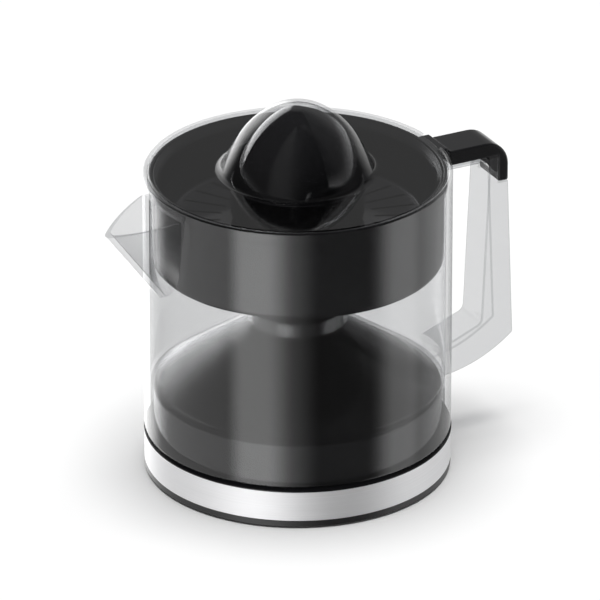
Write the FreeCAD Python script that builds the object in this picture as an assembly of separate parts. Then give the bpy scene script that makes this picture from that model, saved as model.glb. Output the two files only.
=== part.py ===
import FreeCAD, Part
import math
import os
from FreeCAD import Vector

# Citrus press juicer, in millimetres. The origin is on the drive axis at table level.
# +Z is up, the handle points along +X and the spout along -X.

# Overall sizes
JUG_R = 76.5            # outside of the clear jug
JUG_RIM_Z = 159.5       # jug rim above the table
JUG_WALL = 3.2
JUG_RIM_WALL = 2.4      # thinner wall above the ledge that carries the bowl
JUG_FLOOR = 2.0
LEDGE_DROP = 7.8        # from the rim down to that ledge

# Clearances
LOOSE = 0.6             # parts that lift off each other
SKIRT_GAP = 1.5         # housing inside the jug's foot
FREE = 0.3              # parts that move past each other
RUN = 0.05              # shafts in their bores
HEX_PLAY = 0.15         # hexagon drives, on each flat

# Base
FOOT_STAND = 1.0        # gap under the bottom ring
RING_H = 3.1            # visible height of the bottom ring
RING_INSET = 0.1        # bottom ring inside the jug's outline
BAND_H = 15.6
BAND_T = 0.6
LIP_H = 0.8
LIP_PROUD = 0.3         # lip over the band's top edge, past the jug's outline
HOUSING_WALL = 2.2
SHOULDER_Z = 44.0
SHOULDER_EDGE = 2.0     # bevel along the shoulder
NECK_R = 21.9
NECK_FOOT_Z = 75.7
NECK_TOP_Z = 84.5
BOSS_R = 10.0           # shaft boss on the neck
BOSS_TOP_Z = 93.0
BOSS_FOOT_Z = 70.0

# Bottom plate, feet and screws
PLATE_RECESS = 0.8      # hollow under the plate, inside its rim
PLATE_RIM = 4.0
FOOT_R = 7.0
FOOT_CIRCLE = 57.0
FOOT_COUNT = 4
FOOT_TURN = 45.0
FOOT_EDGE = 0.6
SCREW_COUNT = 3
SCREW_TURN = 60.0
SCREW_R = 1.5
SCREW_HEAD_R = 3.0
SCREW_HEAD_H = 1.2
SCREW_LENGTH = 12.0
POST_R = 4.0
VENT_COUNT = 7
VENT_W = 2.4
VENT_L = 22.0
VENT_PITCH = 5.5
VENT_X = -31.0

# Cord inlet at the back
GLAND_Z = 12.0
GLAND_R = 4.5
GLAND_BORE_R = 3.3
GLAND_FLANGE_R = 6.0
GLAND_FLANGE_T = 1.2
GLAND_TAIL = 3.0        # length inside the wall

# Motor and gears
MOTOR_X = 36.0          # motor axis from the drive axis
CAN_R = 27.0
CAN_H = 22.0
CAN_WALL = 1.0
COIL_R = 25.5
COIL_ROOM = 0.3         # over and under the winding, inside the can
MAGNET_R = 19.5
MAGNET_ROOM = 2.5       # over and under the magnet, inside the can
MAGNET_GAP = 1.5        # air gap to the coil former
MAGNET_RIM = 4.0        # thickness of the magnet's ring
MAGNET_WEB = 4.0        # thickness of the disc that carries the ring
AXLE_R = 1.5
MODULE = 1.0
PINION_TEETH = 12
IDLER_TEETH = 32
OUTPUT_TEETH = 36
PRESSURE_DEG = 25.0
ADDENDUM = 0.8
DEDENDUM = 1.1
BACKLASH = 0.2
GEAR_1_T = 5.0          # fast gear pair
GEAR_2_T = 7.0          # slow gear pair
GEAR_SPACE = 1.0        # between layers
CHASSIS_T = 2.0         # gearbox plate
COVER_T = 2.0
COVER_WALL = 1.6
COVER_ROOM = 2.5        # around the gears
HUB_R = 7.0
CHASSIS_POST_R = 3.5
CHASSIS_POSTS = ((-12.5, 12.5), (-12.5, -12.5))

# Drive shaft, spring and switch
SHAFT_FLATS = 8.0
SHAFT_TIP_R = 1.2       # round tip that presses the switch lever
SHAFT_TIP_H = 2.0
PRESS = 2.5             # how far the cone can be pressed down
BUSH_R = 7.0
BUSH_FOOT_Z = 72.0
SEAL_R = 8.0
SEAL_H = 3.0
CLIP_R = 8.0
CLIP_T = 1.2
SPRING_H = 14.0
SPRING_R = 6.2
SPRING_WIRE = 1.0
SPRING_TURNS = 5
SPRING_STEPS = 12       # sections in a turn
SWITCH_L = 20.0
SWITCH_W = 6.4
SWITCH_H = 6.3
SWITCH_BUTTON_H = 1.2
LEVER_ARM = 16.0
LEVER_T = 0.8
LEVER_W = 4.4
LEVER_RISE = 2.8        # lever's underside above the switch
LEVER_EYE_R = 1.3
LEVER_PIN_R = 0.7
EAR_T = 0.8

# Jug: chimney over the neck, spout and handle
CHIMNEY_GAP = 0.4       # round the neck
CHIMNEY_WALL = 1.7
CHIMNEY_RISE = 0.8      # over the neck
CHIMNEY_FLANGE = 1.7
COLLAR_GAP = 1.0        # round the shaft boss
COLLAR_WALL = 1.8
COLLAR_H = 10.0
SPOUT_HALF_DEG = 22.0   # half the spout's width on the wall
SPOUT_REACH = 28.7      # tip past the wall
SPOUT_TOP = 6.0         # below the rim, at the wall
SPOUT_DIP = 8.5         # tip below that
SPOUT_FOOT = 53.5       # below the rim, where the keel meets the wall
SPOUT_WALL = 2.0
SPOUT_TIP_R = 2.2
SPOUT_KEEL_R = 4.0
HANDLE_W = 20.5
GRIP_GAP_TOP = 26.0     # inside of the grip past the wall, at its top and foot
GRIP_GAP_FOOT = 22.0
GRIP_REACH_TOP = 36.5   # outside of the grip past the wall, at its top and foot
GRIP_REACH_FOOT = 40.0
HANDLE_TOP = 11.3       # top face of the upper arm below the rim
HANDLE_ARM_T = 2.2
HANDLE_FOOT_Z = 58.0    # inner corner of the lower arm
HANDLE_SLOPE = 0.4      # fall of the lower arm towards the wall
HANDLE_HEEL_Z = 49.5    # outer corner of the lower arm
HANDLE_HEEL_SAG = 3.5   # bow of its underside
HANDLE_ROOT_Z = 33.0    # underside where it meets the wall
HANDLE_INNER_ROUND = 4.0
CAP_T = 7.8             # black cap over the upper arm
CAP_LEG_T = 5.5
CAP_LEG_FOOT = 25.5     # foot of the cap's leg below the rim
CAP_GAP = 3.6           # inner end of the cap past the wall
CAP_ROUND = 9.0
CAP_EDGE = 1.0

# Bowl
BOWL_RIM_DROP = 1.5     # bowl's rim below the jug's rim
BOWL_DEPTH = 47.0
BOWL_WALL = 2.2
BOWL_GAP = 0.9          # wall to jug
BOWL_EDGE = 3.5         # bevel round the bottom
STEP_DROP = 4.0         # seat for the strainer below the bowl's rim
HUB_WALL = 2.0
OUTLET_COUNT = 4
OUTLET_R = 28.0
OUTLET_W = 8.0
OUTLET_DEG = 40.0
TAB_W = 20.0
TAB_T = 2.5
TAB_REACH = 2.3         # past the jug's outside

# Strainer
STRAINER_FLOOR_DROP = 26.5   # floor's top below the jug's rim
STRAINER_T = 2.0
STRAINER_WALL = 1.8
STRAINER_FLOOR_R = 64.0
STRAINER_RIM_SLOPE = 2.4
STRAINER_RIM_W = 2.6
SLOT_COUNT = 30
SLOT_W = 1.8
SLOT_IN_R = 38.0
SLOT_OUT_R = 60.0
HUB_DROP = 17.0         # strainer hub under its floor

# Spindle and cone
SPINDLE_R = 8.0
SPINDLE_FLANGE_R = 11.5
SPINDLE_FLANGE_T = 1.7
SPINDLE_HEX = 13.0
SPINDLE_HEX_H = 14.5
SPINDLE_TAIL = 1.0      # under the clip
CONE_APEX = 32.8        # above the jug's rim
CONE_TIP_R = 3.0
CONE_MID_R = 24.2
CONE_MID_DROP = 14.2    # below the apex
CONE_R = 33.0
CONE_RIB_H = 38.3       # ribbed part, from the apex down
CONE_H = 55.5
CONE_FACET = 0.84       # facet radius as a share of the rib radius
CONE_WALL = 2.6
CONE_RIB_TURN = 0.5     # ribs, in degrees from +X
CONE_RIBS = 4
SHORT_RIB_T = 2.2
SHORT_RIB_TOP = 20.0    # below the apex
SHORT_RIB_DIP = 1.2     # foot of a short rib inside the skirt
SHORT_RIB_BOW = 1.2
CONE_LEVELS = 5
SOCKET_WALL = 2.2

# Dust cover
COVER_SHEET = 1.4
DOME_ARC_IN = 8.7       # centre of the dome's flank arc, past the axis
DOME_ARC_R = 45.0
DOME_ARC_DROP = 7.5     # that centre below the rim
DOME_CAP_R = 28.0       # round of the dome's top
DOME_FOOT = 1.6         # bevel where the dome leaves the sheet
DOME_STEPS = 8
COVER_GAP = 0.2         # over the bowl's rim


# Heights and radii that follow from the sizes above
plate_z = FOOT_STAND + RING_H
band_top_z = plate_z + BAND_H
ledge_z = band_top_z + LIP_H
jug_foot_z = ledge_z + FREE
jug_in_r = JUG_R - JUG_WALL
skirt_r = jug_in_r - SKIRT_GAP
ring_r = JUG_R - RING_INSET
screw_circle = skirt_r - HOUSING_WALL / 2 - POST_R
jug_ledge_z = JUG_RIM_Z - LEDGE_DROP
chimney_in_r = NECK_R + CHIMNEY_GAP
chimney_r = chimney_in_r + CHIMNEY_WALL
chimney_top_z = NECK_TOP_Z + CHIMNEY_RISE + CHIMNEY_FLANGE
collar_in_r = BOSS_R + COLLAR_GAP
collar_r = collar_in_r + COLLAR_WALL
grip_in_top = JUG_R + GRIP_GAP_TOP
grip_in_foot = JUG_R + GRIP_GAP_FOOT
grip_out_top = JUG_R + GRIP_REACH_TOP
grip_out_foot = JUG_R + GRIP_REACH_FOOT
cap_start = JUG_R + CAP_GAP
can_top_z = plate_z + CAN_H
coil_z = plate_z + CAN_WALL + COIL_ROOM
magnet_z = plate_z + CAN_WALL + MAGNET_ROOM
magnet_h = CAN_H - CAN_WALL - 2 * MAGNET_ROOM
gear_1_z = can_top_z + CHASSIS_T + GEAR_SPACE / 2
gear_2_z = gear_1_z + GEAR_1_T + GEAR_SPACE
gears_top_z = gear_2_z + GEAR_2_T
cover_z = gears_top_z + GEAR_SPACE
hub_top_z = cover_z + COVER_T + GEAR_SPACE
bowl_rim_z = JUG_RIM_Z - BOWL_RIM_DROP
bowl_floor_z = bowl_rim_z - BOWL_DEPTH
bowl_r = jug_in_r - BOWL_GAP
lip_r = JUG_R - JUG_RIM_WALL - FREE
strainer_z = JUG_RIM_Z - STRAINER_FLOOR_DROP
strainer_seat_z = bowl_rim_z - STEP_DROP
hub_in_r = collar_r + LOOSE
hub_out_r = hub_in_r + HUB_WALL
spindle_flange_z = strainer_z + FREE
spindle_hex_z = spindle_flange_z + SPINDLE_FLANGE_T
spindle_top_z = spindle_hex_z + SPINDLE_HEX_H
spindle_foot_z = strainer_z - HUB_DROP - FREE - CLIP_T - SPINDLE_TAIL
shaft_top_z = spindle_top_z + PRESS
lever_z = plate_z + SWITCH_H + LEVER_RISE
shaft_foot_z = lever_z + LEVER_T + FREE
clip_z = hub_top_z + SPRING_H
shaft_round_r = SHAFT_FLATS / 2
apex_z = JUG_RIM_Z + CONE_APEX
cone_foot_z = apex_z - CONE_H
cover_sheet_z = bowl_rim_z + COVER_GAP


def at_angle(radius, degrees, z=0.0):
    turn = math.radians(degrees)
    return Vector(radius * math.cos(turn), radius * math.sin(turn), z)


def disc(radius, z0, z1, x=0.0, y=0.0):
    return Part.makeCylinder(radius, z1 - z0, Vector(x, y, z0))


def ring(outer, inner, z0, z1, x=0.0, y=0.0):
    return disc(outer, z0, z1, x, y).cut(disc(inner, z0, z1, x, y))


def block(x0, x1, y0, y1, z0, z1):
    return Part.makeBox(x1 - x0, y1 - y0, z1 - z0, Vector(x0, y0, z0))


def hexagon(flats, z0, z1):
    corner = flats / math.sqrt(3)
    corners = [at_angle(corner, 60 * k, z0) for k in range(7)]
    return Part.Face(Part.makePolygon(corners)).extrude(Vector(0, 0, z1 - z0))


def outline(*steps):
    """Closed wire in the XZ plane. A step is an end point, or a (through, end) pair for an arc."""
    start = Vector(steps[0][0], 0, steps[0][1])
    edges = []
    here = start
    for step in steps[1:]:
        if isinstance(step[0], tuple):
            through = Vector(step[0][0], 0, step[0][1])
            end = Vector(step[1][0], 0, step[1][1])
            edges.append(Part.Arc(here, through, end).toShape())
        else:
            end = Vector(step[0], 0, step[1])
            edges.append(Part.makeLine(here, end))
        here = end
    if here.distanceToPoint(start) > 1e-6:
        edges.append(Part.makeLine(here, start))
    return Part.Wire(edges)


def turned(*steps):
    face = Part.Face(outline(*steps))
    return face.revolve(Vector(0, 0, 0), Vector(0, 0, 1), 360)


def slab(width, *steps):
    """Outline in the XZ plane, made width thick about the XZ plane."""
    solid = Part.Face(outline(*steps)).extrude(Vector(0, width, 0))
    return solid.translated(Vector(0, -width / 2, 0))


def fused(shapes):
    whole = shapes[0]
    for shape in shapes[1:]:
        whole = whole.fuse(shape)
    return whole.removeSplitter()


def turned_copies(shape, count, first_deg=0.0):
    axis = Vector(0, 0, 1)
    return [shape.rotated(Vector(0, 0, 0), axis, first_deg + 360.0 * k / count) for k in range(count)]


def bowed(start, end, bulge):
    """Point beside the middle of a line, to the left of its direction, for an arc."""
    dx, dz = end[0] - start[0], end[1] - start[1]
    length = math.hypot(dx, dz)
    return ((start[0] + end[0]) / 2 - dz / length * bulge, (start[1] + end[1]) / 2 + dx / length * bulge)


def save(name, shape):
    shape.exportStep("parts/" + name + ".step")


def gear(teeth, z0, z1, tooth_deg):
    """Spur gear about the Z axis with one tooth's middle at tooth_deg."""
    pitch_r = MODULE * teeth / 2
    base_r = pitch_r * math.cos(math.radians(PRESSURE_DEG))
    root_r = pitch_r - DEDENDUM * MODULE
    tip_r = pitch_r + ADDENDUM * MODULE

    def involute(radius):
        angle = math.acos(min(1.0, base_r / radius))
        return math.tan(angle) - angle

    def half_angle(radius):
        at_pitch = (math.pi * MODULE / 2 - BACKLASH) / (2 * pitch_r)
        return math.degrees(at_pitch + involute(pitch_r) - involute(max(radius, base_r)))

    points = []
    for k in range(teeth):
        middle = tooth_deg + 360.0 * k / teeth
        for radius, side in ((root_r, -1), (tip_r, -1), (tip_r, 1), (root_r, 1)):
            points.append(at_angle(radius, middle + side * half_angle(radius), z0))
    points.append(points[0])
    return Part.Face(Part.makePolygon(points)).extrude(Vector(0, 0, z1 - z0))


def gear_places():
    """Idler axis, from the two centre distances, and the directions between the axes."""
    fast = MODULE * (PINION_TEETH + IDLER_TEETH) / 2
    slow = MODULE * (PINION_TEETH + OUTPUT_TEETH) / 2
    x = (slow ** 2 - fast ** 2 + MOTOR_X ** 2) / (2 * MOTOR_X)
    y = math.sqrt(slow ** 2 - x ** 2)
    from_axis = math.degrees(math.atan2(y, x))
    from_motor = math.degrees(math.atan2(y, x - MOTOR_X))
    return x, y, from_axis, from_motor


idler_x, idler_y, idler_from_axis, idler_from_motor = gear_places()


def dome_line(gap):
    """Ends of the sloping roof, moved up by gap: at the shoulder and at the neck's foot."""
    return (skirt_r - SHOULDER_EDGE, SHOULDER_Z + gap), (chimney_r, NECK_FOOT_Z + gap)


def housing_solid(inset):
    """The housing's outside, moved inward by inset, closed at the bottom plate."""
    shoulder, neck = dome_line(-inset)
    skirt = skirt_r - inset
    low = JUG_R - BAND_T - inset
    return turned(
        (0, plate_z), (low, plate_z), (low, ledge_z - inset), (skirt, ledge_z - inset),
        (skirt, shoulder[1] - SHOULDER_EDGE), shoulder, neck, (NECK_R - inset, neck[1]),
        (NECK_R - inset, NECK_TOP_Z - inset), (0, NECK_TOP_Z - inset))


def base_housing():
    outside = housing_solid(0.0)
    lip = ring(JUG_R + LIP_PROUD, skirt_r - HOUSING_WALL, band_top_z, ledge_z)
    post_top = SHOULDER_Z - 2 * POST_R
    posts = [disc(POST_R, plate_z, post_top, p.x, p.y) for p in screw_places()]
    boss = disc(BOSS_R, BOSS_FOOT_Z, BOSS_TOP_Z)
    shell = fused([outside.cut(housing_solid(HOUSING_WALL)), lip, boss] + posts)
    bush_top = BOSS_TOP_Z - SEAL_H
    shell = shell.cut(disc(BUSH_R, 0, bush_top)).cut(disc(SEAL_R, bush_top, BOSS_TOP_Z))
    for p in screw_places():
        shell = shell.cut(disc(SCREW_R, plate_z, plate_z + SCREW_LENGTH, p.x, p.y))
    return shell.cut(gland_tube(GLAND_R))


def screw_places():
    return [at_angle(screw_circle, SCREW_TURN + 360.0 * k / SCREW_COUNT) for k in range(SCREW_COUNT)]


def steel_band():
    band = ring(JUG_R, JUG_R - BAND_T, plate_z, band_top_z)
    return band.cut(gland_tube(GLAND_R))


def gland_tube(radius):
    """Cylinder along +Y through the wall at the back."""
    start = JUG_R - BAND_T - HOUSING_WALL - GLAND_TAIL
    length = JUG_R + GLAND_FLANGE_T - start
    return Part.makeCylinder(radius, length, Vector(0, start, GLAND_Z), Vector(0, 1, 0))


def cord_gland():
    flange = Part.makeCylinder(GLAND_FLANGE_R, GLAND_FLANGE_T, Vector(0, JUG_R, GLAND_Z), Vector(0, 1, 0))
    outside_band = flange.cut(disc(JUG_R, 0, band_top_z))
    return fused([gland_tube(GLAND_R), outside_band]).cut(gland_tube(GLAND_BORE_R))


def base_plate():
    plate = disc(ring_r, FOOT_STAND, plate_z)
    plate = plate.cut(disc(ring_r - PLATE_RIM, FOOT_STAND, FOOT_STAND + PLATE_RECESS))
    posts = [disc(CHASSIS_POST_R, plate_z, can_top_z, x, y) for x, y in CHASSIS_POSTS]
    plate = fused([plate] + posts)
    for p in screw_places():
        plate = plate.cut(disc(SCREW_R, FOOT_STAND, plate_z, p.x, p.y))
    for x, y in CHASSIS_POSTS:
        plate = plate.cut(disc(SCREW_R, can_top_z - SCREW_LENGTH / 2, can_top_z, x, y))
    for k in range(VENT_COUNT):
        y = (k - (VENT_COUNT - 1) / 2) * VENT_PITCH
        x = VENT_X
        vent = block(x - VENT_L / 2, x + VENT_L / 2, y - VENT_W / 2, y + VENT_W / 2, FOOT_STAND, plate_z)
        plate = plate.cut(vent.cut(disc(SWITCH_L + SWITCH_W, FOOT_STAND, plate_z)))
    return plate


def rubber_feet():
    top = FOOT_STAND + PLATE_RECESS
    foot = turned((0, 0), (FOOT_R - FOOT_EDGE, 0), (FOOT_R, FOOT_EDGE), (FOOT_R, top), (0, top))
    foot = foot.translated(Vector(FOOT_CIRCLE, 0, 0))
    return Part.Compound(turned_copies(foot, FOOT_COUNT, FOOT_TURN))


def screw(x, y, head_z, length, up):
    """Pan-head screw with its head's inner face at head_z, its shank going up or down."""
    sign = 1 if up else -1
    head = Part.makeCylinder(SCREW_HEAD_R, SCREW_HEAD_H, Vector(x, y, head_z), Vector(0, 0, -sign))
    shank = Part.makeCylinder(SCREW_R - RUN, length, Vector(x, y, head_z), Vector(0, 0, sign))
    return head.fuse(shank)


def base_screws():
    head_z = FOOT_STAND + PLATE_RECESS
    return Part.Compound([screw(p.x, p.y, head_z, SCREW_LENGTH, True) for p in screw_places()])


def gearbox_screws():
    head_z = can_top_z + CHASSIS_T
    length = CHASSIS_T + SCREW_LENGTH / 2 - GEAR_SPACE
    return Part.Compound([screw(x, y, head_z, length, False) for x, y in CHASSIS_POSTS])


def motor_can():
    can = disc(CAN_R, plate_z, can_top_z, MOTOR_X)
    can = can.cut(disc(CAN_R - CAN_WALL, plate_z + CAN_WALL, can_top_z, MOTOR_X))
    return can.cut(disc(AXLE_R, plate_z, plate_z + CAN_WALL, MOTOR_X))


def motor_coil():
    """Ring winding between the magnet and the can."""
    return ring(COIL_R, MAGNET_R + MAGNET_GAP, coil_z, can_top_z - COIL_ROOM, MOTOR_X)


def rotor_magnet():
    magnet = ring(MAGNET_R, MAGNET_R - MAGNET_RIM, magnet_z, magnet_z + magnet_h, MOTOR_X)
    web_z = magnet_z + (magnet_h - MAGNET_WEB) / 2
    web = ring(MAGNET_R - MAGNET_RIM, AXLE_R + RUN, web_z, web_z + MAGNET_WEB, MOTOR_X)
    return fused([magnet, web])


def rotor_pinion():
    pinion = gear(PINION_TEETH, gear_1_z, gear_1_z + GEAR_1_T, idler_from_motor)
    root = MODULE * PINION_TEETH / 2 - DEDENDUM * MODULE
    foot = magnet_z + (magnet_h + MAGNET_WEB) / 2
    whole = fused([pinion, disc(root, foot, gear_1_z)])
    return whole.cut(disc(AXLE_R + RUN, foot, gear_1_z + GEAR_1_T)).translated(Vector(MOTOR_X, 0, 0))


def rotor_axle():
    return disc(AXLE_R, plate_z, gear_1_z + GEAR_1_T + GEAR_SPACE, MOTOR_X)


def idler_axle():
    return disc(AXLE_R, can_top_z, cover_z + COVER_T, idler_x, idler_y)


def idler_gear():
    half_gap = 180.0 / IDLER_TEETH
    wheel = gear(IDLER_TEETH, gear_1_z, gear_1_z + GEAR_1_T, idler_from_motor + 180 + half_gap)
    pinion = gear(PINION_TEETH, gear_1_z + GEAR_1_T, gears_top_z, idler_from_axis + 180)
    whole = fused([wheel, pinion]).cut(disc(AXLE_R + RUN, gear_1_z, gears_top_z))
    return whole.translated(Vector(idler_x, idler_y, 0))


def output_gear():
    half_gap = 180.0 / OUTPUT_TEETH
    wheel = gear(OUTPUT_TEETH, gear_2_z, gears_top_z, idler_from_axis + half_gap)
    hub = disc(HUB_R, can_top_z, hub_top_z)
    return fused([wheel, hub]).cut(hexagon(SHAFT_FLATS + 2 * HEX_PLAY, can_top_z, hub_top_z))


def lobes(room, z0, z1):
    """Round the three gears, room wider than their tips."""
    tip = ADDENDUM * MODULE + room
    places = ((0.0, 0.0, OUTPUT_TEETH), (idler_x, idler_y, IDLER_TEETH), (MOTOR_X, 0.0, PINION_TEETH))
    return fused([disc(MODULE * teeth / 2 + tip, z0, z1, x, y) for x, y, teeth in places])


def gearbox_plate():
    top = can_top_z + CHASSIS_T
    plate = fused([lobes(COVER_ROOM + COVER_WALL, can_top_z, top), disc(CAN_R, can_top_z, top, MOTOR_X)])
    plate = plate.cut(disc(HUB_R + RUN, can_top_z, top))
    plate = plate.cut(disc(MODULE * PINION_TEETH / 2 + GEAR_SPACE, can_top_z, top, MOTOR_X))
    plate = plate.cut(disc(AXLE_R, can_top_z, top, idler_x, idler_y))
    for x, y in CHASSIS_POSTS:
        plate = plate.cut(disc(SCREW_R, can_top_z, top, x, y))
    return plate


def gearbox_cover():
    foot = can_top_z + CHASSIS_T
    top = cover_z + COVER_T
    cover = lobes(COVER_ROOM + COVER_WALL, foot, top).cut(lobes(COVER_ROOM, foot, cover_z))
    cover = cover.cut(disc(HUB_R + RUN, cover_z, top))
    return cover.cut(disc(AXLE_R, cover_z, top, idler_x, idler_y))


def drive_shaft():
    """Hexagonal at both ends, round where it runs in the bush, with a tip over the switch lever."""
    tip = disc(SHAFT_TIP_R, shaft_foot_z, shaft_foot_z + SHAFT_TIP_H)
    low = hexagon(SHAFT_FLATS, shaft_foot_z + SHAFT_TIP_H, clip_z)
    middle = disc(shaft_round_r, clip_z, BOSS_TOP_Z + COLLAR_H)
    high = hexagon(SHAFT_FLATS, BOSS_TOP_Z + COLLAR_H, shaft_top_z)
    return fused([tip, low, middle, high])


def shaft_clip():
    return ring(CLIP_R, shaft_round_r + RUN, clip_z, clip_z + CLIP_T)


def return_spring():
    """Coil of square wire between the output gear's hub and the clip on the shaft."""
    half = SPRING_WIRE / 2
    foot = hub_top_z + half + RUN
    rise = SPRING_H - SPRING_WIRE - 2 * RUN
    steps = SPRING_STEPS * SPRING_TURNS
    sections = []
    for k in range(steps + 1):
        turn = 360.0 * k / SPRING_STEPS
        z = foot + rise * k / steps
        corners = ((SPRING_R - half, z - half), (SPRING_R + half, z - half),
                   (SPRING_R + half, z + half), (SPRING_R - half, z + half), (SPRING_R - half, z - half))
        sections.append(Part.makePolygon([at_angle(radius, turn, height) for radius, height in corners]))
    return Part.makeLoft(sections, True, True)


def shaft_bush():
    return ring(BUSH_R, shaft_round_r + RUN, BUSH_FOOT_Z, BOSS_TOP_Z - SEAL_H)


def shaft_seal():
    return ring(SEAL_R, shaft_round_r + RUN, BOSS_TOP_Z - SEAL_H, BOSS_TOP_Z)


def pivot_pin(radius, width):
    """Cylinder along Y at the lever's pivot."""
    middle = lever_z + LEVER_T / 2
    return Part.makeCylinder(radius, width, Vector(-LEVER_ARM, -width / 2, middle), Vector(0, 1, 0))


def microswitch():
    top = plate_z + SWITCH_H
    middle = lever_z + LEVER_T / 2
    start = -LEVER_ARM - SWITCH_L / 4
    body = block(start, start + SWITCH_L, -SWITCH_W / 2, SWITCH_W / 2, plate_z, top)
    button = disc(GEAR_SPACE, top, top + SWITCH_BUTTON_H, -LEVER_ARM / 2)
    ears = []
    for side in (-1, 1):
        y = side * (SWITCH_W - EAR_T) / 2
        ears.append(block(-LEVER_ARM - LEVER_EYE_R, -LEVER_ARM + LEVER_EYE_R, y - EAR_T / 2, y + EAR_T / 2,
                          top, middle + LEVER_EYE_R))
    return fused([body, button, pivot_pin(LEVER_PIN_R, SWITCH_W)] + ears)


def switch_lever():
    blade = block(-LEVER_ARM, SHAFT_FLATS / 2, -LEVER_W / 2, LEVER_W / 2, lever_z, lever_z + LEVER_T)
    eye = pivot_pin(LEVER_EYE_R, LEVER_W)
    return fused([blade, eye]).cut(pivot_pin(LEVER_PIN_R + RUN, LEVER_W))


def jug_body():
    """Wall, floor over the dome, chimney and collar, in one turned outline."""
    low, low_neck = dome_line(LOOSE)
    high, high_neck = dome_line(LOOSE + JUG_FLOOR)
    return turned(
        (JUG_R, jug_foot_z), (JUG_R, JUG_RIM_Z), (JUG_R - JUG_RIM_WALL, JUG_RIM_Z),
        (JUG_R - JUG_RIM_WALL, jug_ledge_z), (jug_in_r, jug_ledge_z), (jug_in_r, high[1]), high,
        high_neck, (chimney_r, chimney_top_z), (collar_r, chimney_top_z),
        (collar_r, chimney_top_z + COLLAR_H), (collar_in_r, chimney_top_z + COLLAR_H),
        (collar_in_r, chimney_top_z - CHIMNEY_FLANGE),
        (chimney_in_r, chimney_top_z - CHIMNEY_FLANGE), (chimney_in_r, low_neck[1]), low_neck,
        low, (jug_in_r, low[1]), (jug_in_r, jug_foot_z))


def mirrored(p):
    return Vector(p.x, -p.y, p.z)


def spout_section(z, reach, half_width, inside, tip_r):
    """Rounded wedge at one height: two flanks and an arc at the tip."""
    tip_x = -JUG_R - reach
    root = Vector(-JUG_R + inside, half_width, z)
    flank = math.atan2(half_width, reach + inside)
    centre_x = tip_x + tip_r
    touch = Vector(centre_x - tip_r * math.sin(flank), tip_r * math.cos(flank), z)
    flank_1 = Part.makeLine(root, touch)
    nose = Part.Arc(touch, Vector(tip_x, 0, z), mirrored(touch)).toShape()
    flank_2 = Part.makeLine(mirrored(touch), mirrored(root))
    return Part.Wire([flank_1, nose, flank_2, Part.makeLine(mirrored(root), root)])


def spout_solid(inset):
    """Beak from its foot on the wall up past its lip, moved inward by inset."""
    foot_z = JUG_RIM_Z - SPOUT_FOOT
    top_z = JUG_RIM_Z
    tip_z = JUG_RIM_Z - SPOUT_TOP - SPOUT_DIP
    wall_half = JUG_R * math.sin(math.radians(SPOUT_HALF_DEG))
    inside = JUG_R * (1 - math.cos(math.radians(SPOUT_HALF_DEG)))
    grow = (top_z - foot_z) / (tip_z - foot_z)
    width_grow = (top_z - foot_z) / (top_z - SPOUT_TOP - foot_z)
    low = spout_section(foot_z, 0.0, SPOUT_KEEL_R, SPOUT_KEEL_R + JUG_WALL, SPOUT_KEEL_R / 2)
    high = spout_section(top_z, SPOUT_REACH * grow, wall_half * width_grow, inside * width_grow + JUG_WALL,
                         SPOUT_TIP_R)
    beak = Part.makeLoft([low, high], True, True)
    return beak.translated(Vector(inset, 0, 0))


def spout_lip_cut():
    """What lies above the lip, which falls from the wall to the tip."""
    lip_z = JUG_RIM_Z - SPOUT_TOP
    tip_x = -JUG_R - SPOUT_REACH
    far = tip_x - JUG_R
    fall = SPOUT_DIP / SPOUT_REACH
    return slab(2 * JUG_R, (0, lip_z), (-JUG_R, lip_z), (tip_x, lip_z - SPOUT_DIP),
                (far, lip_z - SPOUT_DIP - fall * (tip_x - far)), (far, 2 * JUG_RIM_Z), (0, 2 * JUG_RIM_Z))


def handle():
    wall = JUG_R - JUG_WALL / 2
    arm_z = JUG_RIM_Z - HANDLE_TOP
    under_z = arm_z - HANDLE_ARM_T
    leg_z = JUG_RIM_Z - CAP_LEG_FOOT
    seat = grip_out_top - CAP_LEG_T
    heel = (grip_out_foot, HANDLE_HEEL_Z)
    root = (wall, HANDLE_ROOT_Z)
    lower = (wall, HANDLE_FOOT_Z - HANDLE_SLOPE * (grip_in_foot - wall))
    grip = slab(
        HANDLE_W, root, lower, (grip_in_foot, HANDLE_FOOT_Z), (grip_in_top, under_z), (wall, under_z),
        (wall, arm_z), (seat, arm_z), (seat, leg_z), (grip_out_top, leg_z), heel,
        (bowed(heel, root, HANDLE_HEEL_SAG), root))
    inner = [e for e in grip.Edges if is_inner_corner(e, under_z)]
    return grip.makeFillet(HANDLE_INNER_ROUND, inner)


def is_inner_corner(edge, under_z):
    """The two edges across the handle inside its opening."""
    middle = edge.CenterOfMass
    across = edge.Length > HANDLE_W - 0.01 and abs(middle.y) < 0.01
    foot = abs(middle.x - grip_in_foot) < 0.01 and abs(middle.z - HANDLE_FOOT_Z) < 0.01
    top = abs(middle.x - grip_in_top) < 0.01 and abs(middle.z - under_z) < 0.01
    return across and (foot or top)


def jug():
    body = jug_body()
    lip_cut = spout_lip_cut()
    bore = disc(jug_in_r, 0, JUG_RIM_Z).fuse(disc(JUG_R - JUG_RIM_WALL, jug_ledge_z, JUG_RIM_Z))
    beak = spout_solid(0.0).cut(lip_cut).cut(bore)
    whole = fused([body, beak, handle().cut(bore)])
    d = SPOUT_WALL / math.sin(math.atan2(JUG_R * math.sin(math.radians(SPOUT_HALF_DEG)), SPOUT_REACH))
    below_rim = disc(2 * JUG_R, 0, JUG_RIM_Z - SPOUT_TOP)
    whole = whole.cut(spout_solid(d).common(below_rim))
    notch_half = TAB_W / 2 + FREE
    notch_z = bowl_rim_z - TAB_T - FREE
    return whole.cut(block(0, 2 * JUG_R, -notch_half, notch_half, notch_z, JUG_RIM_Z).cut(
        disc(jug_in_r, notch_z, JUG_RIM_Z)))


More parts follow.
